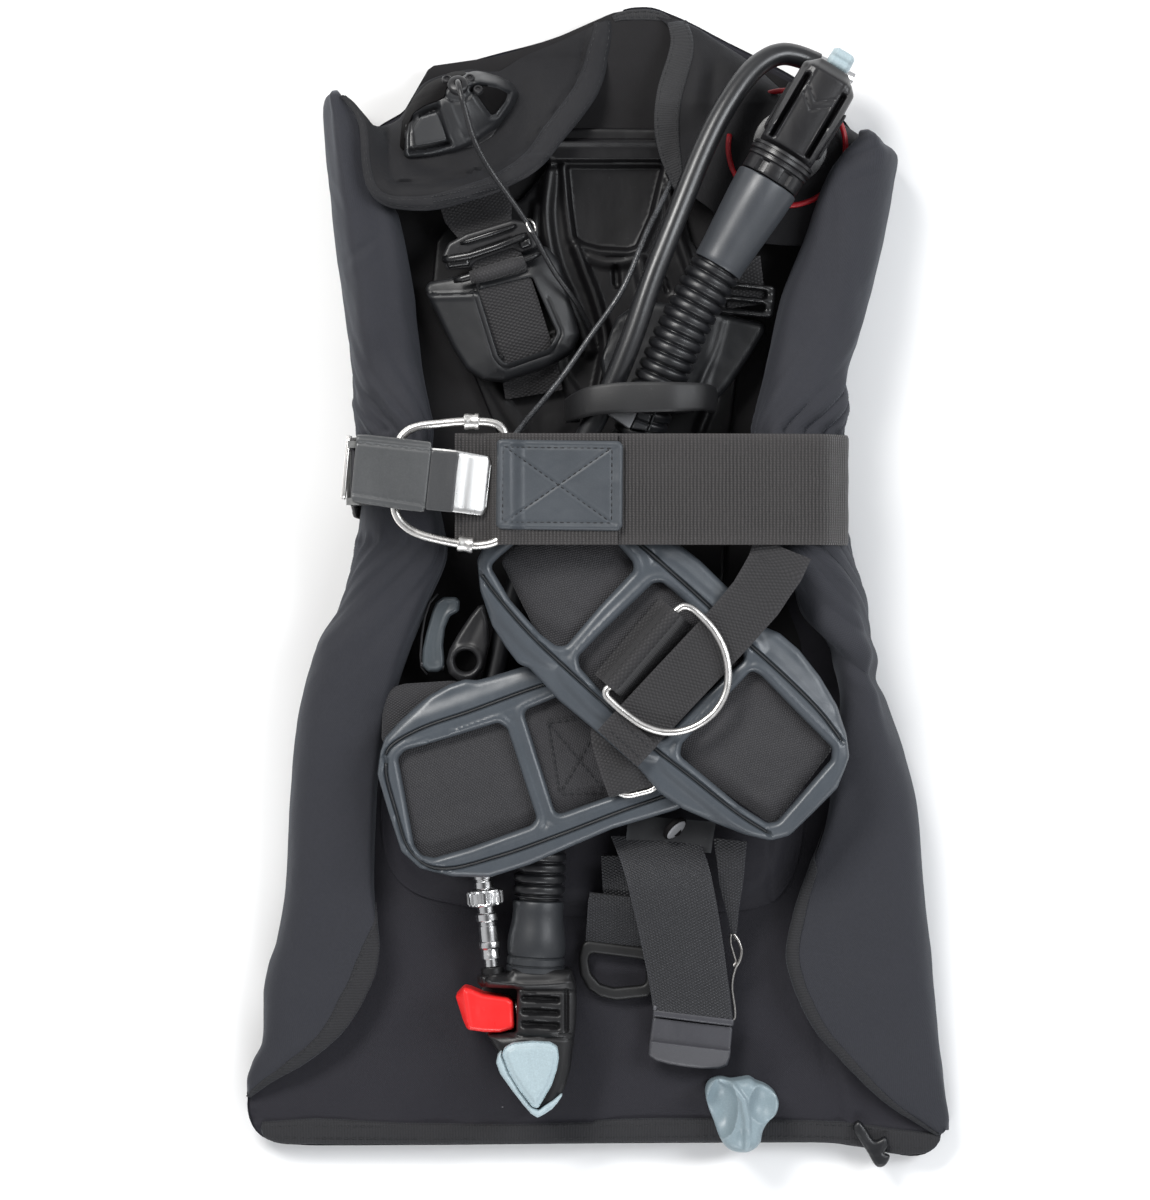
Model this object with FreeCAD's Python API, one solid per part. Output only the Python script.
import FreeCAD, Part
import math
import os

V = FreeCAD.Vector

# Folded back-inflation buoyancy compensator, cinched by its tank band, lying flat.
# Millimetres. +Z up, +Y towards the collar, +X towards the side with the shoulder elbow.
# The origin is the centre of the base, on the surface that it lies on.

# ---------------------------------------------------------------- driving dimensions
GRID = 0.46            # plan grid, mm per unit at REF_Z: 50.8 mm webbing is 110 units wide
REF_Z = 50.0           # height at which one grid unit is GRID
EYE_Z = 2100.0         # height that the plan outlines are drawn from
PLAN_X = -9.4123          # plan grid centre, mm
PLAN_Y = -5.6118

PANEL_BACK = 5.0       # fabric and lining of the back panel
PANEL_TOP = 11.0       # top of the front panel
PANEL_FRONT = 3.0      # front panel
FLAP_T = 7.0           # folded side: two skins and the empty bladder
BAND_W = 50.8          # two-inch webbing
BAND_T = 2.2
BAND_TOP = 75.0        # top face of the cam band over the bundle
BELT_T = 1.8           # waist and belt webbing
PAD_T = 8.0            # moulded waist pads
LEFT_PAD_TOP = 54.0
RIGHT_PAD_TOP = 67.0
WIRE_R = 1.7           # D-ring and bail wire radius
SMALL_WIRE_R = 1.25
HOSE_OD = 24.0         # corrugated hose
LP_OD = 10.5           # low-pressure hose
CORD_D = 2.6           # pull cords
PIN_CLEAR = 0.05       # running clearance, radial
BUTTON_TRAVEL = 3.0
PURGE_TRAVEL = 3.0
COLLAR_TRAVEL = 3.0
KNOB_TRAVEL = 4.0
POPPET_TRAVEL = 4.0
HOSE_THREAD_R = 4.76   # 3/8 inch first-stage thread

PARTS = {}


# ---------------------------------------------------------------- helpers
def W(u, v, z):
    """Plan grid point (u to the right, v down) at height z."""
    k = (EYE_Z - z) / (EYE_Z - REF_Z)
    return V(PLAN_X + (u - 575.0) * GRID * k, PLAN_Y + (600.0 - v) * GRID * k, z)


def G(n, z):
    """Length of n grid units at height z."""
    return n * GRID * (EYE_Z - z) / (EYE_Z - REF_Z)


def keep(name, *shapes):
    solids = []
    for s in shapes:
        solids.extend(s.Solids)
    for s in solids:
        if not s.isValid():
            print("INVALID", name)
    PARTS[name] = solids[0] if len(solids) == 1 else Part.makeCompound(solids)
    return PARTS[name]


def round_edges(pts, r):
    """Closed polygon with rounded corners; r is one radius or one per corner."""
    n = len(pts)
    marks = []
    for i in range(n):
        p0, p1, p2 = pts[i - 1], pts[i], pts[(i + 1) % n]
        a = p0 - p1
        b = p2 - p1
        la, lb = a.Length, b.Length
        a = a * (1.0 / la)
        b = b * (1.0 / lb)
        ang = math.acos(max(-1.0, min(1.0, a.dot(b))))
        rr = r[i] if isinstance(r, (list, tuple)) else r
        if ang > math.radians(177.0) or rr <= 0:
            marks.append((p1, None, p1))
            continue
        t = min(rr / math.tan(ang / 2), 0.46 * la, 0.46 * lb)
        rr = t * math.tan(ang / 2)
        bis = a + b
        bis.normalize()
        mid = p1 + bis * (rr / math.sin(ang / 2) - rr)
        marks.append((p1 + a * t, mid, p1 + b * t))
    edges = []
    for i in range(n):
        s, m, e = marks[i]
        if m is not None:
            edges.append(Part.Arc(s, m, e).toShape())
        nxt = marks[(i + 1) % n][0]
        if (nxt - e).Length > 1e-6:
            edges.append(Part.LineSegment(e, nxt).toShape())
    return Part.Wire(edges)


def plate(uv, z0, z1, r=3.0, zmap=None):
    """Flat plate with a rounded outline given on the plan grid, from z0 to z1."""
    zm = z1 if zmap is None else zmap
    pts = []
    for u, v in uv:
        p = W(u, v, zm)
        pts.append(V(p.x, p.y, z0))
    return Part.Face(round_edges(pts, r)).extrude(V(0, 0, z1 - z0))


def smooth_plate(uv, z0, z1, zmap=None):
    """Flat plate with one closed smooth outline through the given points."""
    zm = z1 if zmap is None else zmap
    pts = []
    for u, v in uv:
        p = W(u, v, zm)
        pts.append(V(p.x, p.y, z0))
    c = Part.BSplineCurve()
    c.interpolate(pts, PeriodicFlag=True)
    return Part.Face(Part.Wire([c.toShape()])).extrude(V(0, 0, z1 - z0))


def soften(shape, r, pick=None):
    """Fillet the edges that pick() accepts, with smaller radii if one is too large."""
    for f in (1.0, 0.6, 0.35):
        edges = [e for e in shape.Edges if pick is None or pick(e)]
        try:
            out = shape.makeFillet(r * f, edges)
            if out.isValid() and len(out.Solids) == len(shape.Solids) and out.Volume > 0:
                return out
        except Exception:
            pass
    print("not softened", round(r, 2))
    return shape


def at_height(z, tol=0.05):
    def pick(e):
        b = e.BoundBox
        return abs(b.ZMin - z) < tol and abs(b.ZMax - z) < tol
    return pick


def rod(p0, p1, r, r2=None):
    d = p1 - p0
    if r2 is None:
        return Part.makeCylinder(r, d.Length, p0, d)
    return Part.makeCone(r, r2, d.Length, p0, d)


def route(pts):
    """Straight runs joined by tangent arcs, each as large as its two runs allow."""
    radii = []
    edges = []
    last = pts[0]
    for i in range(1, len(pts) - 1):
        p0, p1, p2 = pts[i - 1], pts[i], pts[i + 1]
        a = p0 - p1
        b = p2 - p1
        la, lb = a.Length, b.Length
        a = a * (1.0 / la)
        b = b * (1.0 / lb)
        ang = math.acos(max(-1.0, min(1.0, a.dot(b))))
        t = 0.45 * min(la, lb)
        rr = t * math.tan(ang / 2)
        bis = a + b
        bis.normalize()
        mid = p1 + bis * (rr / math.sin(ang / 2) - rr)
        s, e = p1 + a * t, p1 + b * t
        edges.append(Part.LineSegment(last, s).toShape())
        edges.append(Part.Arc(s, mid, e).toShape())
        radii.append(rr)
        last = e
    edges.append(Part.LineSegment(last, pts[-1]).toShape())
    return Part.Wire(edges), radii


def tube(name, pts, d):
    """Cord or hose solid along a route; prints its radii, length and volume ratio."""
    w, radii = route(pts)
    first = pts[1] - pts[0]
    ring = Part.Wire([Part.makeCircle(d / 2.0, pts[0], first)])
    s = w.makePipeShell([ring], True, False)
    vol = math.pi * d * d / 4 * w.Length
    runs = [(pts[i + 1] - pts[i]).Length for i in range(len(pts) - 1)]
    print("%-16s length %.1f  volume ratio %.4f  valid %s  min radius %.1f (%.1f d)  runs %s" % (
        name, w.Length, s.Volume / vol, s.isValid(), min(radii), min(radii) / d,
        " ".join("%.0f" % r for r in runs)))
    print("                 radii", " ".join("%.0f" % r for r in radii))
    return Part.Solid(s) if s.ShapeType != "Solid" else s


def wire_loop(pts, r, corner):
    """Closed loop of round wire through the given corners."""
    w = round_edges(pts, corner)
    e = w.Edges[-1]
    # start the section in the middle of a straight edge
    best = max((x for x in w.Edges if isinstance(x.Curve, Part.Line)), key=lambda x: x.Length)
    order = [x for x in w.Edges]
    i = [k for k, x in enumerate(order) if x.isSame(best)][0]
    order = order[i:] + order[:i]
    mid = best.valueAt((best.FirstParameter + best.LastParameter) / 2)
    a = best.valueAt(best.FirstParameter)
    b = best.valueAt(best.LastParameter)
    half1 = Part.LineSegment(mid, b).toShape()
    half2 = Part.LineSegment(a, mid).toShape()
    path = Part.Wire([half1] + order[1:] + [half2])
    ring = Part.Wire([Part.makeCircle(r, mid, b - a)])
    s = path.makePipeShell([ring], True, False)
    return Part.Solid(s) if s.ShapeType != "Solid" else s


def spring(p0, p1, r, wire_r, turns):
    """Compression spring as a helix of round wire between two points."""
    d = p1 - p0
    L = d.Length - 2 * wire_r
    helix = Part.makeHelix(L / turns, L, r)
    ring = Part.Wire([Part.makeCircle(wire_r, V(r, 0, 0), V(0, 1, L / turns / (2 * math.pi * r)))])
    s = Part.Wire(helix.Edges).makePipeShell([ring], True, True)
    rot = FreeCAD.Rotation(V(0, 0, 1), d)
    dn = V(d)
    dn.normalize()
    s.Placement = FreeCAD.Placement(p0 + dn * wire_r, rot)
    return Part.Solid(s) if s.ShapeType != "Solid" else s


def interp(table, v):
    if v <= table[0][0]:
        return list(table[0][1:])
    for a, b in zip(table, table[1:]):
        if v <= b[0]:
            t = (v - a[0]) / (b[0] - a[0])
            return [x + (y - x) * t for x, y in zip(a[1:], b[1:])]
    return list(table[-1][1:])


# ---------------------------------------------------------------- wing: panels
# Edge of the flat back of the wing, inside the folded sides.
LEFT_BASE = [(11, 624), (22, 598), (40, 548), (60, 466), (80, 404), (105, 370), (150, 366), (250, 368), (350, 376), (420, 384),
             (440, 388), (543, 388), (600, 372), (640, 348), (700, 330), (780, 320), (880, 316),
             (939, 306), (996, 294), (1034, 292), (1072, 276), (1122, 270)]
RIGHT_BASE = [(11, 664), (22, 690), (40, 724), (60, 764), (80, 800), (110, 836), (150, 862), (184, 862), (240, 852), (299, 838), (420, 822),
              (440, 812), (543, 812), (605, 836), (655, 842), (723, 862), (796, 882), (852, 886),
              (998, 902), (1057, 906), (1101, 914), (1122, 916)]


def edge_u(table, v):
    return interp([(a, b) for a, b in table], v)[0]


panel_vs = [11, 22, 40, 60, 80, 105, 150, 250, 350, 420, 440, 543, 600, 640, 700, 780, 880, 939, 996, 1034, 1072, 1122]
left_edge = [(edge_u(LEFT_BASE, v), v) for v in panel_vs]
right_edge = [(edge_u(RIGHT_BASE, v), v) for v in panel_vs]
outline = left_edge + right_edge[::-1]

GROOVE_V = 489.0
groove_y = W(0, GROOVE_V, BAND_TOP).y
groove = Part.makeBox(400, BAND_W + 1.6, BAND_T + 0.3, V(-200, groove_y - BAND_W / 2 - 0.8, 0))

back_panel = plate(outline, 0, PANEL_BACK, 2.0, PANEL_TOP).cut(groove)
keep("wing_back_panel", back_panel)

front_panel = plate(outline, PANEL_TOP - PANEL_FRONT, PANEL_TOP, 2.0, PANEL_TOP)
keep("wing_front_panel", front_panel)

in_l = [(u + 22, v) for u, v in left_edge[1:-1]]
in_r = [(u - 22, v) for u, v in right_edge[1:-1]]
keep("air_bladder", plate(in_l + in_r[::-1], PANEL_BACK, PANEL_TOP - PANEL_FRONT, 4.0, PANEL_TOP))

hem = plate([(270, 1122), (916, 1122), (929, 1143), (258, 1143)], 0, PANEL_TOP + 1.0, [0.5, 0.5, 6, 6], PANEL_TOP)
keep("bottom_hem", soften(hem, 1.5, at_height(PANEL_TOP + 1.0)))


# ---------------------------------------------------------------- wing: folded sides
# v, outer edge u, inner edge u, height of the top at the fold, height at the inner edge
LEFT_FLAP = [
    (98, 329, 362, 40, 38), (150, 330, 368, 44, 41), (200, 335, 376, 46, 42), (250, 340, 383, 47, 43),
    (350, 350, 397, 50, 48), (425, 359, 411, 56, 60), (489, 362, 428, 59, 64), (552, 358, 436, 55, 60),
    (600, 342, 421, 47, 50), (660, 312, 402, 42, 44), (720, 297, 385, 38, 37), (800, 290, 375, 34, 32),
    (880, 286, 374, 31, 29), (942, 276, 377, 28, 26), (996, 264, 364, 26, 24), (1042, 262, 330, 24, 22),
    (1080, 247, 292, 22, 20), (1116, 249, 284, 20, 18)]
RIGHT_FLAP = [
    (140, 886, 842, 41, 40), (184, 889, 829, 44, 43), (240, 880, 811, 46, 44), (299, 864, 790, 49, 46),
    (360, 858, 776, 52, 50), (425, 850, 761, 56, 60), (489, 838, 768, 59, 64), (552, 846, 790, 55, 60),
    (605, 862, 812, 47, 50), (655, 868, 826, 44, 46), (700, 881, 838, 41, 41), (760, 901, 838, 37, 36),
    (813, 912, 834, 34, 33), (863, 916, 817, 32, 30), (911, 921, 800, 30, 28), (953, 926, 794, 28, 26),
    (998, 930, 806, 26, 24), (1040, 933, 832, 24, 22), (1080, 939, 868, 22, 20), (1116, 943, 905, 20, 18)]


def flap(table, base, sign):
    """Side of the wing: up round the fold from the panel's edge, and back over the top."""
    wires = []
    for v, uo, ui, zt, zi in table:
        y = W(0, v, zt * 0.6).y
        xb = W(edge_u(base, v), v, PANEL_TOP).x
        xo = W(uo, v, zt * 0.55).x
        xi = W(ui, v, zi).x
        s = sign                                      # +1: the fold is on the +X side
        w = abs(xo - xb)
        outer = [V(xb, y, 0), V(xb + s * w * 0.62, y, 1.2), V(xo - s * 0.06 * w, y, zt * 0.22),
                 V(xo, y, zt * 0.52), V(xo - s * min(4.0, 0.3 * w), y, zt * 0.84),
                 V(xo - s * min(12.0, abs(xo - xi) * 0.42), y, zt), V(xi, y, zi)]
        t = FLAP_T
        zm = (zt - t + PANEL_TOP + 1.0) / 2
        inner = [V(xi, y, zi - t * 0.55), V(xo - s * min(13.0, abs(xo - xi) * 0.5), y, zt - t),
                 V(xo - s * (t * 0.9), y, zm), V(xb + s * w * 0.25, y, PANEL_TOP + 1.0), V(xb, y, PANEL_TOP)]
        co = Part.BSplineCurve()
        co.interpolate(outer)
        ci = Part.BSplineCurve()
        ci.interpolate(inner)
        wires.append(Part.Wire([co.toShape(), Part.LineSegment(outer[-1], inner[0]).toShape(), ci.toShape(),
                                Part.LineSegment(inner[-1], outer[0]).toShape()]))
    return Part.makeLoft(wires, True, True)


left_flap = flap(LEFT_FLAP, LEFT_BASE, -1)
right_flap = flap(RIGHT_FLAP, RIGHT_BASE, 1)

# ---------------------------------------------------------------- tank band
# Section of the closed band in the X-Z plane, outer face; it passes under the back panel.
left_x = W(350, GROOVE_V, 40).x
right_x = W(848, GROOVE_V, 40).x
band_pts = [V(left_x + 11, 0, 0), V(right_x - 9, 0, 0), V(right_x, 0, 12), V(right_x, 0, 50), V(right_x - 12, 0, 67),
            V(W(740, 0, 74).x, 0, 73.6), V(W(560, 0, 75).x, 0, BAND_TOP), V(W(430, 0, 75).x, 0, BAND_TOP),
            V(left_x + 13, 0, BAND_TOP), V(left_x, 0, 62), V(left_x, 0, 12)]
band_r = [9, 9, 12, 14, 14, 60, 0, 0, 14, 12, 9]


def band_face(pts, r, inset):
    """Outline moved inwards by inset, as a face in the X-Z plane."""
    n = len(pts)
    moved = []
    for i in range(n):
        p0, p1, p2 = pts[i - 1], pts[i], pts[(i + 1) % n]
        a = (p1 - p0)
        b = (p2 - p1)
        a.normalize()
        b.normalize()
        na = V(-a.z, 0, a.x)
        nb = V(-b.z, 0, b.x)
        bis = na + nb
        bis.normalize()
        c = bis.dot(na)
        moved.append(p1 + bis * (inset / c))
    rr = [max(x - inset, 1.0) if x > 0 else 0 for x in r]
    return Part.Face(round_edges(moved, rr))


b_out = band_face(band_pts, band_r, 0.0).extrude(V(0, BAND_W, 0))
b_in = band_face(band_pts, band_r, BAND_T).extrude(V(0, BAND_W + 2, 0))
b_in.translate(V(0, -1, 0))
cam_band = b_out.cut(b_in)
cam_band.translate(V(0, groove_y - BAND_W / 2, 0))
keep("cam_band", cam_band)

# The folded sides are cinched inside the band and stand on the surface.
room = band_face(band_pts, band_r, BAND_T + 0.4).extrude(V(0, BAND_W + 1.6, 0))
room.translate(V(0, groove_y - BAND_W / 2 - 0.8, 0))
cinch = Part.makeBox(500, BAND_W + 1.6, 130, V(-250, groove_y - BAND_W / 2 - 0.8, -20)).cut(room)
floor = Part.makeBox(600, 700, 40, V(-300, -350, -40))
core = plate(outline, -5, PANEL_TOP, 2.0, PANEL_TOP)
keep("wing_left_flap", left_flap.cut(core).cut(cinch).cut(floor))
keep("wing_right_flap", right_flap.cut(core).cut(cinch).cut(floor))

# ---------------------------------------------------------------- wing: collar lobes
# Each lobe is the front skin of the wing's top: a sheet with a wall down to the front panel.
LEFT_LOBE_TOP = 48.0
RIGHT_LOBE_TOP = 30.0
L_SLOPE_V, L_SLOPE = 190.0, 0.2615            # the left lobe falls this much per grid unit above that line
R_SLOPE_V, R_SLOPE = 104.0, 0.165


def above(v0, z_at, slope, drop):
    """Everything above a plane that falls towards the collar, drop below the lobe's skin."""
    y0 = W(0, v0, z_at).y
    ang = math.degrees(math.atan(slope / GRID))
    b = Part.makeBox(500, 400, 120, V(-250, 0, 0))
    b.rotate(V(0, 0, 0), V(1, 0, 0), -ang)
    b.translate(V(0, y0, z_at - drop))
    return b


def lobe_shell(outer, inner, top, v0, slope, skin):
    s = plate(outer, PANEL_TOP, top, 3.0).cut(above(v0, top, slope, 0.0))
    c = plate(inner, PANEL_TOP, top - skin, 1.0, top).cut(above(v0, top, slope, skin))
    return s.cut(c)


left_lobe_out = [(374, 138), (400, 124), (412, 84), (450, 58), (500, 58), (560, 36), (590, 22), (612, 13),
                 (614, 24), (605, 72), (582, 115), (560, 141), (545, 163), (516, 184), (434, 211), (402, 210),
                 (386, 205), (378, 190)]
left_lobe_in = [(388, 150), (414, 136), (428, 96), (460, 76), (504, 72), (562, 50), (585, 40), (592, 50),
                (584, 72), (560, 112), (536, 140), (520, 230), (400, 240)]
left_lobe = lobe_shell(left_lobe_out, left_lobe_in, LEFT_LOBE_TOP, L_SLOPE_V, L_SLOPE, 5.0)
right_lobe_out = [(650, 8), (673, 15), (701, 26), (720, 40), (738, 52), (752, 78), (790, 98), (830, 112),
                  (832, 140), (820, 186), (803, 243), (740, 236), (690, 190), (672, 189), (660, 158), (654, 121),
                  (658, 87), (668, 54), (673, 24)]
right_lobe_in = [(690, 44), (712, 52), (732, 66), (742, 92), (784, 110), (806, 120), (806, 140), (796, 176),
                 (790, 262), (674, 262), (668, 168), (672, 150), (672, 121), (676, 92)]
right_lobe = lobe_shell(right_lobe_out, right_lobe_in, RIGHT_LOBE_TOP, R_SLOPE_V, R_SLOPE, 4.0)

# ---------------------------------------------------------------- harness: back plate and pads
plate_out = [(560, 128), (660, 128), (668, 165), (690, 240), (726, 290), (742, 340), (730, 440), (722, 640),
             (700, 690), (560, 690), (520, 640), (500, 440), (430, 300), (440, 240), (520, 200), (552, 165)]
back_plate = plate(plate_out, PANEL_TOP, 16.0, 5.0)
back_plate = back_plate.cut(plate([(584, 175), (640, 175), (652, 236), (590, 246)], PANEL_TOP - 1, 17.0, 4.0, 16.0))
bar = soften(plate([(564, 129), (656, 129), (658, 160), (562, 160)], 16.0, 26.0, 3.0), 2.5, at_height(26.0))
rail_l = plate([(562, 160), (569, 160), (586, 262), (606, 330), (598, 334), (577, 266)], 16.0, 22.0, 1.5)
rail_r = plate([(650, 160), (657, 160), (668, 230), (690, 300), (682, 304), (660, 234)], 16.0, 22.0, 1.5)
back_plate = back_plate.fuse([bar, rail_l, rail_r]).removeSplitter()
keep("back_plate", back_plate)
keep("collar_left_lobe", left_lobe.cut(back_plate).cut(PARTS["wing_left_flap"]))
keep("collar_right_lobe", right_lobe.cut(back_plate).cut(PARTS["wing_right_flap"]))

lumbar = smooth_plate([(420, 702), (590, 698), (770, 702), (802, 760), (799, 843), (786, 880), (762, 903), (690, 912),
                       (590, 916), (500, 912), (440, 902), (400, 888), (386, 860), (386, 760)], PANEL_TOP, 16.6)
keep("lumbar_pad", soften(lumbar, 2.0, at_height(16.6)).cut(back_plate))

# moulded shoulder pads
lsp = plate([(431, 270), (552, 252), (580, 330), (570, 353), (505, 381), (478, 377), (460, 358), (431, 300)], 22.0, 34.0, 8.0)
lsp = lsp.cut(plate([(478, 298), (533, 285), (556, 331), (548, 345), (505, 363), (492, 349)], 21.0, 35.0, 3.0, 34.0))
keep("left_shoulder_pad", soften(lsp, 2.5, at_height(34.0)))
rsp = plate([(640, 300), (760, 322), (762, 336), (714, 402), (690, 410), (610, 412), (600, 360)], 20.0, 32.0, 7.0)
keep("right_shoulder_pad", soften(rsp, 2.5, at_height(32.0)))

ls_web = plate([(437, 178), (515, 160), (520, 232), (545, 262), (560, 345), (560, 372), (494, 392), (484, 330),
                (455, 240)], 18.5, 20.3, 1.0)
rs_web = plate([(722, 258), (768, 258), (762, 292), (722, 292)], 30.0, 31.8, 1.0)
keep("shoulder_webbing", ls_web, rs_web)


# ladder buckles: three bars between two curved cheeks
def ladder(c, ang, z0, z1, length, width):
    """Buckle centred at plan point c, turned by ang, with its tilt axis along its lower bar."""
    m = W(c[0], c[1], z1)
    hl, hw = length / 2.0, width / 2.0
    body = Part.makeBox(length, width, z1 - z0, V(-hl, -hw, z0))
    body = soften(body, 1.2, lambda e: e.BoundBox.ZLength > 1.0)
    slot1 = Part.makeBox(length - 9.0, width * 0.26, 20, V(-hl + 4.5, -hw + width * 0.18, z0 - 5))
    slot2 = Part.makeBox(length - 9.0, width * 0.26, 20, V(-hl + 4.5, hw - width * 0.18 - width * 0.26, z0 - 5))
    body = body.cut(slot1).cut(slot2)
    body = soften(body, 1.0, at_height(z1))
    body.rotate(V(0, 0, 0), V(0, 0, 1), ang)
    body.translate(V(m.x, m.y, 0))
    return body


keep("left_ladder_buckle", ladder((497, 243), 8.5, 34.4, 39.4, 46.0, 22.0))
keep("right_ladder_buckle", ladder((746, 299), -6.0, 32.2, 36.2, 27.0, 15.0))

# ---------------------------------------------------------------- waist pads
# left (lower) pad, long axis rising to the right
lp_out = [(384, 742), (410, 712), (440, 694), (484, 684), (540, 668), (632, 640), (700, 700), (720, 760), (690, 806),
          (674, 812), (613, 829), (562, 851), (530, 864), (489, 878), (452, 877), (420, 868), (400, 850), (376, 776)]
left_pad = plate(lp_out, LEFT_PAD_TOP - PAD_T, LEFT_PAD_TOP, 9.0)
win_a = plate([(394, 764), (410, 750), (498, 720), (507, 727), (536, 821), (518, 831), (436, 857), (421, 855)], 40, 60, 4.0, LEFT_PAD_TOP)
win_b = plate([(523, 711), (557, 697), (640, 672), (662, 764), (640, 786), (615, 794), (555, 816)], 40, 60, 4.0, LEFT_PAD_TOP)
left_pad = left_pad.cut(win_a).cut(win_b)
keep("left_waist_pad", soften(left_pad, 2.5, at_height(LEFT_PAD_TOP)))
lw = (plate([(380, 752), (400, 742), (664, 655), (690, 770), (430, 866), (400, 850)],
                                 LEFT_PAD_TOP - PAD_T - 2.2, LEFT_PAD_TOP - PAD_T - 0.2, 2.0, LEFT_PAD_TOP - PAD_T),
      plate([(404, 684), (466, 682), (476, 700), (440, 730), (392, 744)], 39.0, 41.0, 2.0))

# right (upper) pad, long axis falling to the right
rp_out = [(560, 500), (622, 500), (700, 560), (761, 624), (780, 635), (821, 677), (838, 708), (845, 734), (849, 763),
          (838, 790), (788, 837), (771, 841), (745, 835), (721, 827), (682, 809), (659, 793), (640, 769), (558, 700),
          (529, 668), (518, 663), (494, 630), (481, 590), (478, 560), (496, 520)]
right_pad = plate(rp_out, RIGHT_PAD_TOP - PAD_T, RIGHT_PAD_TOP, 9.0)
win_1 = plate([(492, 566), (536, 526), (596, 522), (634, 567), (562, 646), (540, 634)], 55, 70, 4.0, RIGHT_PAD_TOP)
win_2 = plate([(578, 659), (653, 583), (672, 590), (744, 652), (664, 738), (648, 732)], 55, 70, 4.0, RIGHT_PAD_TOP)
win_3 = plate([(750, 672), (833, 753), (771, 825), (678, 753)], 55, 70, 4.0, RIGHT_PAD_TOP)
right_pad = right_pad.cut(win_1).cut(win_2).cut(win_3)
keep("right_waist_pad", soften(right_pad, 2.5, at_height(RIGHT_PAD_TOP)))

# Belt webbing inside the right pad's frame. It lies on the pad's ribs' level, with the fold
# that holds the D-ring's bar standing up from it.
RING_Z = 72.2
bar_a = W(682, 604, RING_Z)
bar_b = W(604, 695, RING_Z)
bar_dir = bar_b - bar_a
bar_len = bar_dir.Length
bar_dir.normalize()
out_dir = V(-bar_dir.y, bar_dir.x, 0)
if out_dir.x < 0:
    out_dir = out_dir * -1.0
rw = plate([(500, 560), (545, 510), (600, 510), (640, 560), (705, 604), (834, 752), (772, 828), (600, 690), (548, 650)],
           55.9, 57.9, 3.0)
bar_mid = (bar_a + bar_b) * 0.5
fold_len = 36.0
f0 = bar_mid - bar_dir * (fold_len / 2)
fold = rod(f0, f0 + bar_dir * fold_len, 3.4)
# web of the fold down to the belt
foot = Part.makeBox(fold_len, 4.4, RING_Z - 57.4, V(-fold_len / 2, -2.2, 57.4))
foot.rotate(V(0, 0, 0), V(0, 0, 1), math.degrees(math.atan2(bar_dir.y, bar_dir.x)))
foot.translate(V(bar_mid.x, bar_mid.y, 0))
bore = rod(bar_mid - bar_dir * 40, bar_mid + bar_dir * 40, WIRE_R + PIN_CLEAR)
keeper = fold.fuse(foot).cut(bore)
keep("waist_webbing", lw[0], lw[1], rw.fuse(keeper).removeSplitter())

# large D-ring: straight bar and bowed wire, in one plane
span = bar_len - 2 * WIRE_R
ring_r = 41.0
half = span / 2
a0 = bar_mid - bar_dir * half
b0 = bar_mid + bar_dir * half
d_pts = [a0, b0, b0 + out_dir * 14 + bar_dir * 1.5, bar_mid + bar_dir * (half * 0.62) + out_dir * 35,
         bar_mid + out_dir * (ring_r), bar_mid - bar_dir * (half * 0.62) + out_dir * 35,
         a0 + out_dir * 14 - bar_dir * 1.5]
d_pts = [a0, b0, b0 + out_dir * 24, bar_mid + bar_dir * (half * 0.42) + out_dir * ring_r,
         bar_mid - bar_dir * (half * 0.42) + out_dir * ring_r, a0 + out_dir * 24]
keep("large_d_ring", wire_loop(d_pts, WIRE_R, [3.5, 3.5, 13.0, 13.0, 13.0, 13.0]))

# small D-ring between the two pads
s_mid = W(628, 757, 56.5)
s_dir = V(0.97, 0.24, 0)
s_dir.normalize()
s_out = V(s_dir.y, -s_dir.x, 0)
sh = 10.5
sa, sb = s_mid - s_dir * sh, s_mid + s_dir * sh
keep("small_d_ring", wire_loop([sa, sb, sb + s_out * 10, s_mid + s_dir * 4.5 + s_out * 17,
                                s_mid - s_dir * 4.5 + s_out * 17, sa + s_out * 10], SMALL_WIRE_R,
                               [2.5, 2.5, 6, 6, 6, 6]))

# strap that crosses the right pad under the D-ring
CROSS_TOP = 69.0
keep("crossing_strap", plate([(750, 551), (812, 551), (803, 578), (745, 648), (724, 677), (690, 713), (633, 770),
                              (596, 731), (663, 664), (703, 606)], RIGHT_PAD_TOP + 0.2, CROSS_TOP, 1.0))

# ---------------------------------------------------------------- tank band fittings
# stitched end of the webbing, with the tunnel that holds the bail's far bar
BAIL_Z = 78.6
bail_v0, bail_v1 = 421.5, 545.5
tunnel_u = 505.0
tx = W(tunnel_u, 0, BAIL_Z).x
ty0 = W(0, 531, 76).y
ty1 = W(0, 440, 76).y
patch = plate([(tunnel_u, 440), (621, 440), (621, 530), (tunnel_u, 530)], BAND_TOP + 0.2, 77.4, [0.3, 3, 3, 0.3], 76)
loop = rod(V(tx, ty0, BAIL_Z), V(tx, ty1, BAIL_Z), 3.4)
patch = patch.fuse(loop).cut(rod(V(tx, ty0 - 5, BAIL_Z), V(tx, ty1 + 5, BAIL_Z), WIRE_R + PIN_CLEAR))
keep("band_patch", patch)

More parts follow.
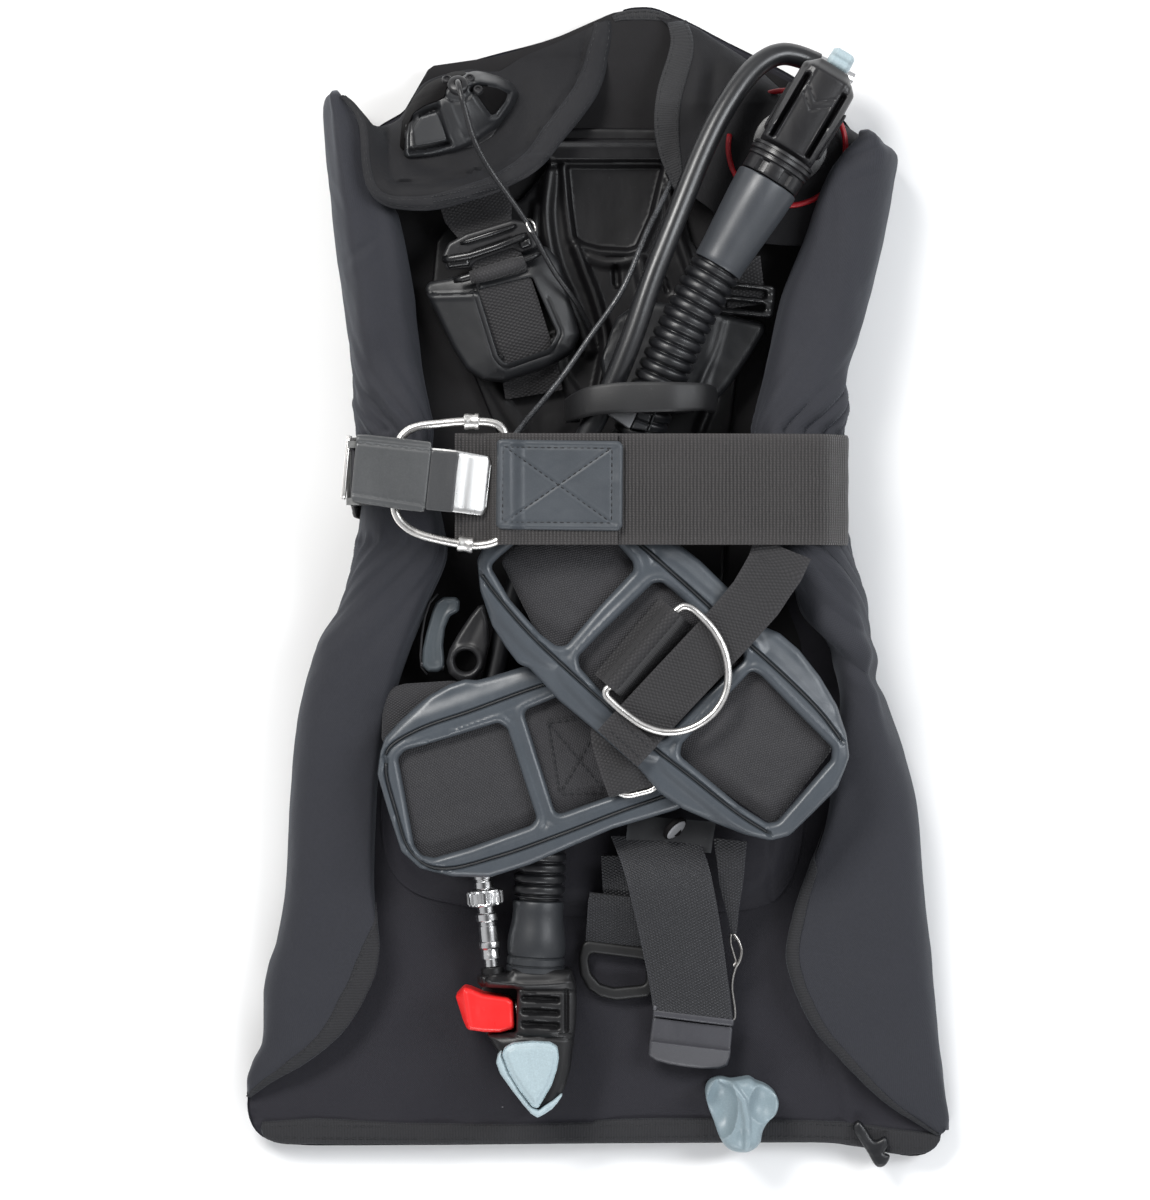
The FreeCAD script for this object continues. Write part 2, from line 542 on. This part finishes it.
# buckle frame: base plate on the band, two ears and the hinge pin
HINGE_U = 354.0
HINGE_Z = 79.8
hx = W(HINGE_U, 0, HINGE_Z).x
by0 = W(0, 505, 80).y
by1 = W(0, 441, 80).y
base = Part.makeBox(16.0, by1 - by0, 1.2, V(hx - 3.4, by0, BAND_TOP + 0.1))
ear_w = 3.2
ear = None
ears = []
for y in (by0, by1 - ear_w):
    e1 = Part.makeCylinder(3.5, ear_w, V(hx, y, HINGE_Z), V(0, 1, 0))
    e2 = Part.makeBox(7.0, ear_w, HINGE_Z - BAND_TOP - 0.1, V(hx - 3.5, y, BAND_TOP + 0.1))
    ears.append(e1.fuse(e2))
frame = base.fuse(ears).removeSplitter()
pin_bore = rod(V(hx, by0 - 1, HINGE_Z), V(hx, by1 + 1, HINGE_Z), 1.5)
pin = rod(V(hx, by0 - 0.4, HINGE_Z), V(hx, by1 + 0.4, HINGE_Z), 1.5)
keep("cam_buckle_frame", frame.cut(pin_bore))
cam_pin = pin

# lever: barrel on the pin, neck, and a plate that ends in a down-turned lip
LEVER_Z = 82.6
ly0, ly1 = by0 + ear_w + 0.5, by1 - ear_w - 0.5
barrel = rod(V(hx, ly0, HINGE_Z), V(hx, ly1, HINGE_Z), 3.3)
neck = Part.makeBox(8.0, ly1 - ly0, 1.6, V(hx, ly0, LEVER_Z - 0.6))
lever_plan = [(364, 441), (432, 448), (470, 454), (490, 460), (494, 470), (489, 503), (482, 514), (460, 513),
              (420, 508), (362, 500)]
lever = plate(lever_plan, LEVER_Z - 0.6, LEVER_Z + 1.0, [1, 1, 1, 4, 4, 4, 4, 1, 1, 1])
tip0 = W(488, 462, 82)
tip1 = W(481, 512, 82)
lip = rod(V(tip0.x - 1.0, tip0.y - 3, LEVER_Z - 1.2), V(tip1.x - 1.0, tip1.y + 3, LEVER_Z - 1.2), 2.2)
hookb = W(407, 462, 81)
hook = Part.makeBox(1.4, 8.0, 4.1, V(W(398, 0, BAIL_Z).x + 2.9, W(0, 484, 81).y, LEVER_Z - 4.6))
lever = lever.fuse([barrel, neck, lip, hook]).cut(rod(V(hx, ly0 - 1, HINGE_Z), V(hx, ly1 + 1, HINGE_Z), 1.5 + PIN_CLEAR))
keep("cam_lever", lever.removeSplitter())

# painted cover of the lever: a plate with two folded side rails, open over the bail
cover = plate([(361, 436.5), (430, 444), (424, 511), (361, 501.5)], LEVER_Z + 1.0, LEVER_Z + 2.6, 1.0)
r1 = plate([(364, 436), (384, 438), (384, 442), (364, 440)], LEVER_Z - 4.0, LEVER_Z + 1.0, 0.3)
r2 = plate([(364, 499.5), (381, 502.2), (381, 506.2), (364, 503.5)], LEVER_Z - 4.0, LEVER_Z + 1.0, 0.3)
r3 = plate([(416, 441.5), (430, 443), (430, 447), (416, 445.5)], LEVER_Z - 4.0, LEVER_Z + 1.0, 0.3)
r4 = plate([(410, 506), (424, 508), (424, 512), (410, 510)], LEVER_Z - 4.0, LEVER_Z + 1.0, 0.3)
cover = cover.fuse([r1, r2, r3, r4])
keep("cam_lever_cover", cover.cut(lever))

# wire bail with a ferrule on each side
bl = W(398, 0, BAIL_Z).x
yt = W(0, bail_v0, BAIL_Z).y
yb = W(0, bail_v1, BAIL_Z).y
bail = wire_loop([V(bl, yb + 7, BAIL_Z), V(bl, yt - 7, BAIL_Z), V(bl + 10, yt, BAIL_Z), V(tx, yt, BAIL_Z), V(tx, yb, BAIL_Z),
                  V(bl + 10, yb, BAIL_Z)], WIRE_R, [6, 6, 6, 4, 4, 6])
fx0, fx1 = W(464, 0, BAIL_Z).x, W(480, 0, BAIL_Z).x
ferr = []
for y in (yt, yb):
    f = rod(V(fx0, y, BAIL_Z), V(fx1, y, BAIL_Z), 3.0)
    ferr.append(f.cut(rod(V(fx0 - 1, y, BAIL_Z), V(fx1 + 1, y, BAIL_Z), WIRE_R)))
keep("wire_bail", bail, *ferr)

# ---------------------------------------------------------------- shoulder elbow
AX = V(-0.515, -0.857, 0)                    # from the elbow towards the hose
EL_Z = 50.0
E0 = W(777, 167, EL_Z)                        # centre of the clamp rings
ax = V(AX)
ax.normalize()
side = V(-ax.y, ax.x, 0)


def along(p, s, t=0.0, z=0.0):
    return p + ax * s + side * t + V(0, 0, z)


# housing: rounded block on the axis, with a bevelled top corner, and a neck down to the wing
hb = [along(E0, -5.5, -13.5), along(E0, -5.5, 13.5), along(E0, -46, 13.8), along(E0, -52.5, 7.0), along(E0, -52.5, -8.0), along(E0, -47.5, -14.0)]
hb = [V(p.x, p.y, EL_Z - 13.0) for p in hb]
housing = Part.Face(round_edges(hb, [2, 2, 5, 3, 3, 5])).extrude(V(0, 0, 27.0))
housing = soften(housing, 4.0, lambda e: at_height(EL_Z + 14.0)(e) or at_height(EL_Z - 13.0)(e))
neck_c = W(790, 146, 33)
neck = Part.makeCylinder(17.0, 2.6, V(neck_c.x, neck_c.y, RIGHT_LOBE_TOP + 0.1))
neck2 = Part.makeCylinder(12.0, 9.0, V(neck_c.x, neck_c.y, RIGHT_LOBE_TOP + 0.1))
barrel = rod(along(E0, -6), along(E0, 14), 11.0)
ring1 = rod(along(E0, -5.4), along(E0, -0.4), 15.0)
ring2 = rod(along(E0, 0.6), along(E0, 7.4), 14.2)
throat = rod(along(E0, -42), along(E0, 15), 8.0)
elbow = housing.fuse([neck, neck2, barrel, ring1, ring2]).cut(throat)
# the pull-dump's guide bore, from the throat out through the top
K0 = along(E0, -50, 0.0)
guide = rod(along(E0, -60), along(E0, -41), 3.05)
seat = rod(along(E0, -60), along(E0, -46.5), 5.6)
elbow = elbow.cut(guide).cut(seat)
keep("shoulder_elbow", elbow.removeSplitter())

# pull-dump knob with its stem and valve disc, all on the elbow's axis
knob = soften(rod(along(E0, -61.5), along(E0, -52.8), 5.4), 1.6, lambda e: True)
stem = rod(along(E0, -54.5), along(E0, -37), 3.0)
disc = rod(along(E0, -37), along(E0, -35), 6.5)
keep("dump_pull_knob", knob.fuse([stem, disc]))
keep("dump_pull_spring", spring(along(E0, -46.6), along(E0, -52.7), 4.4, 0.45, 3))

# red ring round the elbow's foot, lying on the wing
rc = W(787, 147, 32)
keep("red_ring", Part.makeTorus(27.4, 1.25, V(rc.x, rc.y, RIGHT_LOBE_TOP + 1.45)))

# upper cuff: smooth taper from the clamp ring to the hose
C0 = along(E0, 8.0)
C1 = along(E0, 53.5)
cuff_dir = C1 - C0
cuff_dir.normalize()
cuff = rod(C0, C1, 14.6, 11.6)
upper_cuff = cuff.cut(rod(C0 - cuff_dir, C0 + cuff_dir * 12, 11.05)).cut(rod(C0, C1 + cuff_dir, 9.0))

# ---------------------------------------------------------------- corrugated hose and low-pressure hose
h_end = W(538.5, 900, 29)
HOSE = [C1, C1 + cuff_dir * 22.0, W(668, 360, 49), W(645, 415, 45), W(622, 480, 38), W(596, 552, 32),
        W(572, 628, 30.5), W(555, 704, 30), W(546, 780, 30), W(541, 846, 29.5), h_end]
keep("corrugated_hose", tube("corrugated_hose", HOSE, HOSE_OD))

CPL0 = W(483.5, 882, 30)
CPL1 = W(492, 968, 30)
cdir = CPL1 - CPL0
cdir.normalize()
LP = [CPL0 - cdir * 12, CPL0 - cdir * 36, W(480, 760, 30), W(489, 700, 30), W(501, 646, 31), W(513, 594, 33), W(534, 540, 38),
      W(561, 486, 45), W(590, 430, 52), W(614, 383, 56), W(634, 333, 58), W(650, 283, 58), W(667, 240, 57), W(684, 197, 54),
      W(702, 152, 50), W(723, 109, 46), W(748, 73, 40.5), W(771, 55, 36), W(794, 53, 32.3), W(816, 63.5, 29.6)]
keep("lp_hose", tube("lp_hose", LP, LP_OD))

# threaded end of the low-pressure hose: ferrule, hex swivel and thread
t0 = LP[-1]
tdir = LP[-1] - LP[-2]
tdir.normalize()
ferrule = rod(t0, t0 + tdir * 5, 6.0)
hexa = Part.Face(Part.makePolygon([V(6.6 * math.cos(math.radians(60 * i + 30)), 6.6 * math.sin(math.radians(60 * i + 30)), 0) for i in range(7)])).extrude(V(0, 0, 4.5))
hexa.Placement = FreeCAD.Placement(t0 + tdir * 5, FreeCAD.Rotation(V(0, 0, 1), tdir))
thread = rod(t0 + tdir * 9.5, t0 + tdir * 18.5, HOSE_THREAD_R)
keep("hose_end_fitting", ferrule.fuse([hexa, thread]).removeSplitter())
print("thread axis", tdir, "from", t0 + tdir * 9.5, "to", t0 + tdir * 18.5)

# strap that keeps both hoses on the shoulder
ks = [W(566, 0, 47), W(574, 0, 56), W(588, 0, 63.5), W(612, 0, 67.2), W(640, 0, 68), W(678, 0, 67.4), W(702, 0, 61), W(714, 0, 48)]
ky = W(0, 413, 66).y
kpts = [V(p.x, 0, p.z) for p in ks]
top = Part.BSplineCurve()
top.interpolate(kpts)
low_pts = [V(p.x, 0, p.z) for p in ks]
lowc = Part.BSplineCurve()
n = len(kpts)
down = []
for i, p in enumerate(kpts):
    a = kpts[max(i - 1, 0)]
    b = kpts[min(i + 1, n - 1)]
    d = b - a
    d.normalize()
    nrm = V(-d.z, 0, d.x)
    down.append(p - nrm * 2.2)
lowc.interpolate(down[::-1])
kw = Part.Wire([top.toShape(), Part.LineSegment(kpts[-1], down[-1]).toShape(), lowc.toShape(), Part.LineSegment(down[0], kpts[0]).toShape()])
kshape = Part.Face(kw).extrude(V(0, 15.4, 0))
kshape.translate(V(0, ky, 0))
keep("hose_keeper_strap", kshape)

# ---------------------------------------------------------------- power inflator
lcd = HOSE[-1] - HOSE[-2]
lcd.normalize()
lower_cuff = rod(h_end, h_end + lcd * 27.5, 12.6, 13.0)
lower_cuff = lower_cuff.fuse([rod(h_end + lcd * 27.5, h_end + lcd * 33.6, 13.8)])
lower_cuff = lower_cuff.cut(rod(h_end - lcd, h_end + lcd * 40, 8.5))
keep("hose_cuffs", upper_cuff, lower_cuff.cut(PARTS["lumbar_pad"]))
body_top = h_end + lcd * 33.8
INF_TOP = 42.0
INF_BOT = 14.0
body = plate([(483, 977), (506, 976), (512, 968), (572, 972), (577, 1000), (574, 1040), (569, 1079), (556, 1106), (540, 1116), (520, 1096),
              (500, 1056), (486, 1036)], INF_BOT, INF_TOP, 4.0)
body = body.cut(rod(body_top - lcd * 40, body_top, 14.2))
body = soften(body, 4.0, lambda e: at_height(INF_TOP)(e) or at_height(INF_BOT)(e))
# pocket for the inflate button, open to the left and above, with room for its travel
py0, py1 = W(0, 1034, 38).y, W(0, 985, 38).y
px1 = W(519, 0, 38).x + BUTTON_TRAVEL + 1.6
pocket = Part.makeBox(px1 - W(440, 0, 38).x, py1 - py0, 40.0, V(W(440, 0, 38).x, py0, 17.6))
body = body.cut(pocket)
# pocket for the deflate button
tri = [(505, 1050), (511, 1044), (553, 1045), (558, 1060), (537, 1105)]
d_z0 = 34.0
d_pocket = plate([(502.5, 1049), (510, 1041.5), (555, 1042.5), (560.5, 1060), (537, 1109)], d_z0, 60.0, 3.0, 44.0)
body = body.cut(d_pocket)
# nose that the coupling plugs onto
nose0 = CPL1
body = body.fuse(rod(CPL1 - cdir * 0.0, CPL1 + cdir * 7.0, 5.2))
body = body.fuse(rod(CPL1 + cdir * 3.0, CPL1 + cdir * 7.5, 7.4)).cut(pocket)
keep("inflator_body", body.removeSplitter())

btn = plate([(454, 998), (466, 988), (484, 994), (509, 998), (514, 1029), (496, 1032), (466, 1029)], 18.0, 38.0, 3.0)
btn = soften(btn, 2.4, lambda e: at_height(38.0)(e) or at_height(18.0)(e))
keep("inflate_button", btn)
bx = W(512, 0, 38).x
byc = W(0, 1012, 38).y
keep("inflate_spring", spring(V(bx + 0.25, byc, 28), V(px1 - 0.25, byc, 28), 4.2, 0.5, 2.5))

dbtn = plate(tri, 38.6, 46.6, 3.0)
dbtn = soften(dbtn, 2.2, at_height(46.6))
keep("deflate_button", dbtn)
dc = W(532, 1068, 42)
keep("deflate_spring", spring(V(dc.x, dc.y, d_z0 + 0.05), V(dc.x, dc.y, 38.55), 4.5, 0.45, 2.5))

lip_out = [(494, 1058), (503, 1064), (537, 1114), (562, 1096), (566, 1102), (540, 1124), (530, 1120), (500, 1076)]
lip = plate(lip_out, 24.0, 41.0, 1.5)
keep("mouthpiece_lip", lip.cut(PARTS["inflator_body"]))

# quick coupling: nipple and body in one turned piece, with a knurled collar that slides back
def along_c(s):
    return CPL0 + cdir * s


total = (CPL1 - CPL0).Length
cb = rod(along_c(-12.0), along_c(3.0), 4.6)
cb = cb.fuse([rod(along_c(-12.0), along_c(-8.0), 6.2), rod(along_c(3.0), along_c(15.0), 4.1), rod(along_c(15.0), along_c(18.5), 5.2),
              rod(along_c(18.5), along_c(20.5), 4.1), rod(along_c(20.5), along_c(28.0), 4.3), rod(along_c(28.0), along_c(31.0), 5.0),
              rod(along_c(31.0), along_c(36.0), 4.3), rod(along_c(36.0), along_c(total - 0.05), 3.3)])
cb = cb.cut(rod(along_c(-13), along_c(total + 1), 1.6))
cb.translate(V(0, 0, 0))
keep("coupling_body", cb.removeSplitter())
collar = rod(along_c(3.2), along_c(11.2), 8.6)
for i in range(16):
    a = math.radians(360.0 / 16 * i)
    w1 = V(-cdir.y, cdir.x, 0)
    pos = w1 * (9.0 * math.cos(a)) + V(0, 0, 9.0 * math.sin(a))
    collar = collar.cut(rod(along_c(3.8) + pos, along_c(10.6) + pos, 1.05))
collar = collar.cut(rod(along_c(0), along_c(15), 4.65 + 0.02))
keep("coupling_collar", collar)

# ---------------------------------------------------------------- shoulder dump valve
DV_Z = LEFT_LOBE_TOP - (L_SLOPE_V - 113.0) * L_SLOPE
DV = W(459, 113, DV_Z)
tilt = math.degrees(math.atan(L_SLOPE / GRID))
DN = V(0, math.sin(math.radians(tilt)), math.cos(math.radians(tilt)))     # the valve's axis, square to the lobe


def seat_valve(shape):
    shape.rotate(V(0, 0, 0), V(1, 0, 0), -tilt)
    shape.translate(DV + DN * 0.15)
    return shape


flange = Part.makeCylinder(27.0, 3.0).cut(Part.makeCylinder(14.0, 10, V(0, 0, -2)))
keep("dump_valve_base", seat_valve(soften(flange, 0.8, at_height(3.0))))
cap_r, cap_h = 25.0, 19.0
z0 = 3.1
sph = (cap_r * cap_r + cap_h * cap_h) / (2 * cap_h)
ball = Part.makeSphere(sph, V(0, 0, z0 + cap_h - sph))
cap = ball.common(Part.makeCylinder(cap_r + 1, cap_h + 1, V(0, 0, z0)))
inb = Part.makeSphere(sph - 2.0, V(0, 0, z0 + cap_h - sph))
cap = cap.cut(inb.common(Part.makeCylinder(cap_r + 1, cap_h + 1, V(0, 0, z0 - 0.1))))
for a0 in (25, 115, 205, 295):
    win = Part.makeBox(9.0, 13.0, 6.0, V(12.5, -6.5, z0 + 6.0))
    win.rotate(V(0, 0, 0), V(0, 0, 1), a0)
    cap = cap.cut(win)
hub = Part.makeCylinder(4.6, 3.0, V(0, 0, z0 + cap_h - 1.6))
cap = cap.fuse(hub).cut(Part.makeCylinder(1.6, 40, V(0, 0, z0)))
keep("dump_valve_cap", seat_valve(cap.removeSplitter()))
pop = Part.makeCylinder(13.6, 1.8, V(0, 0, z0 - 2.6)).fuse(Part.makeCylinder(1.5, 11.0, V(0, 0, z0 - 1.0)))
keep("dump_poppet", seat_valve(pop.removeSplitter()))
keep("dump_spring", seat_valve(spring(V(0, 0, z0 - 0.7), V(0, 0, z0 + 16.6), 4.6, 0.45, 5)))
hub_top = DV + DN * (0.15 + z0 + cap_h + 1.4)
print("dump axis", DN, "hub", hub_top, "seat", DV)

# ---------------------------------------------------------------- cords
# The dump cord runs from the cap's hub over the cap, down over the brim and through the buckle's edge.
cu = V(0.25, -0.968, 0)                       # the way that the cord leaves the hub, in plan
d0 = hub_top + V(0, 0, 0.9)
d1 = d0 + V(0, 0, 5.0)
d2 = d1 + cu * 2.65 + V(0, 0, 4.24)
d3 = d2 + cu * 4.9 + V(0, 0, 2.4)
d4 = d3 + cu * 7.0 + V(0, 0, -0.6)
DUMP_CORD = [d0, d1, d2, d3, d4, W(472, 136, 59.4), W(482, 157, 58.0), W(494, 176, 56.4), W(507, 194, 54.4), W(520, 212, 51.0),
             W(532, 231, 47.5), W(543, 252, 44.0), W(554, 272, 41.0), W(568, 291, 37.2), W(581, 309, 32.0), W(590, 328, 26.0)]
keep("dump_cord", tube("dump_cord", DUMP_CORD, CORD_D))
CENTRE_CORD = [W(677, 170, 20.5), W(669, 187, 23.0), W(660, 206, 27.5), W(649, 227, 32.0), W(640, 249, 36.0), W(631, 272, 38.6),
               W(621, 293, 40), W(607, 314, 40.6), W(592, 334, 40.4), W(577, 356, 40.2), W(561, 379, 40), W(543, 401, 38.5),
               W(524, 423, 35.4), W(507, 446, 31), W(494, 470, 26), W(484, 492, 21)]
keep("centre_cord", tube("centre_cord", CENTRE_CORD, CORD_D))

# ---------------------------------------------------------------- side buckle and release lever
drop = plate([(483, 608), (490, 640), (484, 668), (466, 682), (450, 674), (448, 655)], 33.0, 41.0, 5.0)
drop = soften(drop, 1.6, at_height(41.0))
eye = W(466, 661, 37)
keep("side_buckle", drop.cut(rod(V(eye.x, eye.y, 20), V(eye.x, eye.y, 60), 5.0)))
lev = plate([(444, 597), (458, 598), (459, 612), (449, 616), (444, 640), (441, 667), (424, 664), (427, 640), (434, 612)], 34.0, 38.6, 2.5)
lev = soften(lev, 1.4, at_height(38.6))
pivot_a = W(424, 664.5, 36.3)
pivot_b = W(441, 667.0, 36.3)
pd = pivot_b - pivot_a
pd.normalize()
keep("release_lever", lev.cut(rod(pivot_a - pd * 6, pivot_b + pd * 6, 1.55)))
release_pin = rod(pivot_a - pd * 1.4, pivot_b + pd * 1.4, 1.5)

# ---------------------------------------------------------------- belt webbing, buckle, slider
def strip(pts_uvz, halfw, thick):
    """Webbing strip: rectangles lofted along a centre line given on the plan grid."""
    c = [W(u, v, z) for u, v, z in pts_uvz]
    wires = []
    for i, p in enumerate(c):
        a = c[max(i - 1, 0)]
        b = c[min(i + 1, len(c) - 1)]
        d = b - a
        d.normalize()
        flat = V(d.x, d.y, 0)
        flat.normalize()
        w = V(-flat.y, flat.x, 0)
        nrm = w.cross(d)
        if nrm.z < 0:
            nrm = nrm * -1.0
        h = halfw[i] if isinstance(halfw, (list, tuple)) else halfw
        q = [p - w * h, p + w * h, p + w * h - nrm * thick, p - w * h - nrm * thick]
        wires.append(Part.makePolygon(q + [q[0]]))
    return Part.makeLoft(wires, True, True)


belt = strip([(661, 846, 43), (664, 862, 43), (668, 900, 39), (676, 950, 33), (684, 985, 27), (690.5, 1012, 22.8)],
             [18.5, 18.6, 18.6, 18.2, 18.0, 17.8], BELT_T)
upper = strip([(612, 872, 24.5), (616, 900, 23.5), (620, 944, 22)], 12.0, 1.8)
hook_strap = strip([(729, 842, 36), (728, 870, 34), (730, 905, 29), (734, 936, 24)], [6.6, 5.0, 4.0, 3.0], 1.6)
tab_top = plate([(655, 818), (704, 812), (712, 836), (660, 838)], 39.6, 41.4, 3.0)
keep("belt_webbing", belt, upper, hook_strap, tab_top)

# belt buckle: a channel that grips the webbing's end, and a lever lip
bdir = V(0.993, -0.12, 0)
bdir.normalize()
bn = V(bdir.y, -bdir.x, 0)                    # towards the buckle's free end
bc = W(693, 1021, 22)
bl_w = 38.0


def bbox_block(s0, s1, z0, z1, half):
    b = Part.makeBox(2 * half, s1 - s0, z1 - z0, V(-half, -s1, z0))
    b.rotate(V(0, 0, 0), V(0, 0, 1), math.degrees(math.atan2(bdir.y, bdir.x)))
    b.translate(V(bc.x, bc.y, 0))
    return b


frame_b = bbox_block(-1.5, 17.5, 13.0, 14.6, 18.6)
cheek1 = bbox_block(-1.5, 9.0, 13.0, 24.0, 18.6).cut(bbox_block(-3, 12, 14.6, 30, 17.0))
bar_b1 = bbox_block(-1.8, 1.0, 22.6, 24.2, 18.6)
frame_b = frame_b.fuse([cheek1, bar_b1]).cut(belt)
hp0 = bc + bn * 4.6 + V(0, 0, 19.6 - bc.z)
hp_a = hp0 - bdir * 18.6
hp_b = hp0 + bdir * 18.6
frame_b = frame_b.cut(rod(hp_a - bdir, hp_b + bdir, 1.0))
keep("belt_buckle_frame", frame_b)
keep("hinge_pins", cam_pin, release_pin, rod(hp_a, hp_b, 1.0))
lv = rod(hp0 - bdir * 16.6, hp0 + bdir * 16.6, 2.2)
lvp = bbox_block(4.6, 20.5, 20.4, 22.2, 16.6)
lvl = bbox_block(19.0, 20.5, 17.4, 22.2, 16.6)
lv = lv.fuse([lvp, lvl]).cut(rod(hp_a - bdir, hp_b + bdir, 1.0 + PIN_CLEAR))
keep("belt_buckle_lever", lv.removeSplitter())

# black plastic slider behind the belt
sl = plate([(582, 924), (590, 920), (648, 932), (650, 990), (640, 1000), (600, 994), (580, 980)], 12.0, 17.0, 5.0)
sl = sl.cut(plate([(592, 940), (640, 948), (640, 980), (604, 978), (592, 966)], 11, 18, 3.0, 17.0))
keep("belt_slider", soften(sl, 1.4, at_height(17.0)))

hk = [W(733, 940, 22), W(741, 944, 22), W(742, 962, 22), W(736, 972, 21.5), W(736, 1000, 20.5), W(731, 1000, 20.5), W(729, 960, 22)]
hk = [V(p.x, p.y, 21.4) for p in hk]
gr = W(677, 830, 44)
stud = soften(Part.makeCylinder(4.0, 1.6, V(gr.x, gr.y, 41.4)), 0.7, at_height(43.0))
keep("snap_hardware", wire_loop(hk, 0.8, 1.2), stud)

# ---------------------------------------------------------------- rear dump knob and side tab
kc = [(708, 1084), (722, 1079), (741, 1082), (752, 1080), (768, 1090), (777, 1104), (772, 1118), (760, 1130), (752, 1148), (738, 1153),
      (724, 1143), (716, 1122), (709, 1104)]
kn = smooth_plate(kc, PANEL_TOP + 1.2, 31.0)
kn = soften(kn, 5.0, lambda e: at_height(31.0)(e) or at_height(PANEL_TOP + 1.2)(e))
keep("rear_dump_knob", kn)
tab = plate([(853, 1126), (862, 1122), (874, 1140), (890, 1152), (884, 1166), (876, 1167), (866, 1150)], PANEL_TOP + 1.2, 17.0, 2.0)
keep("side_pull_tab", tab)

# ---------------------------------------------------------------- report and export
os.makedirs("parts", exist_ok=True)
low = V(1e9, 1e9, 1e9)
high = V(-1e9, -1e9, -1e9)
CORDS = {"corrugated_hose", "lp_hose", "dump_cord", "centre_cord", "hose_end_fitting"}
for name, shape in PARTS.items():
    b = shape.optimalBoundingBox() if hasattr(shape, "optimalBoundingBox") else shape.BoundBox
    if name not in CORDS:
        low = V(min(low.x, b.XMin), min(low.y, b.YMin), min(low.z, b.ZMin))
        high = V(max(high.x, b.XMax), max(high.y, b.YMax), max(high.z, b.ZMax))
    shape.exportStep(os.path.join("parts", name + ".step"))
m_buckle = W(497, 243, 39.4)
tilt_dir = V(math.cos(math.radians(8.5)), math.sin(math.radians(8.5)), 0)
tilt_pos = m_buckle + V(tilt_dir.y, -tilt_dir.x, 0) * 9.5 + V(0, 0, 36.0 - m_buckle.z)
for label, pos, axis in (
        ("inflate_button", None, V(1, 0, 0)), ("deflate_button", None, V(0, 0, -1)), ("dump_pull_knob", None, ax * -1.0),
        ("dump_poppet", None, DN), ("cam_lever", V(hx, groove_y, HINGE_Z), V(0, -1, 0)),
        ("wire_bail", V(tx, groove_y, BAIL_Z), V(0, 1, 0)), ("large_d_ring", bar_mid, out_dir.cross(V(0, 0, 1))),
        ("small_d_ring", s_mid, s_out.cross(V(0, 0, 1))), ("left_ladder_buckle", tilt_pos, tilt_dir),
        ("release_lever", (pivot_a + pivot_b) * 0.5, pd), ("coupling_collar", None, cdir * -1.0),
        ("belt_buckle_lever", hp0, bn.cross(V(0, 0, 1)))):
    print("JOINT", label, "pos", None if pos is None else [round(c / 1000.0, 6) for c in (pos.x, pos.y, pos.z)],
          "axis", [round(c, 6) for c in (axis.x, axis.y, axis.z)])
print("MOUNT eye", eye, "thread", t0 + tdir * 14.0, tdir)
print("nodes", len(PARTS))
print("low", low, "high", high, "centre", (low + high) * 0.5)
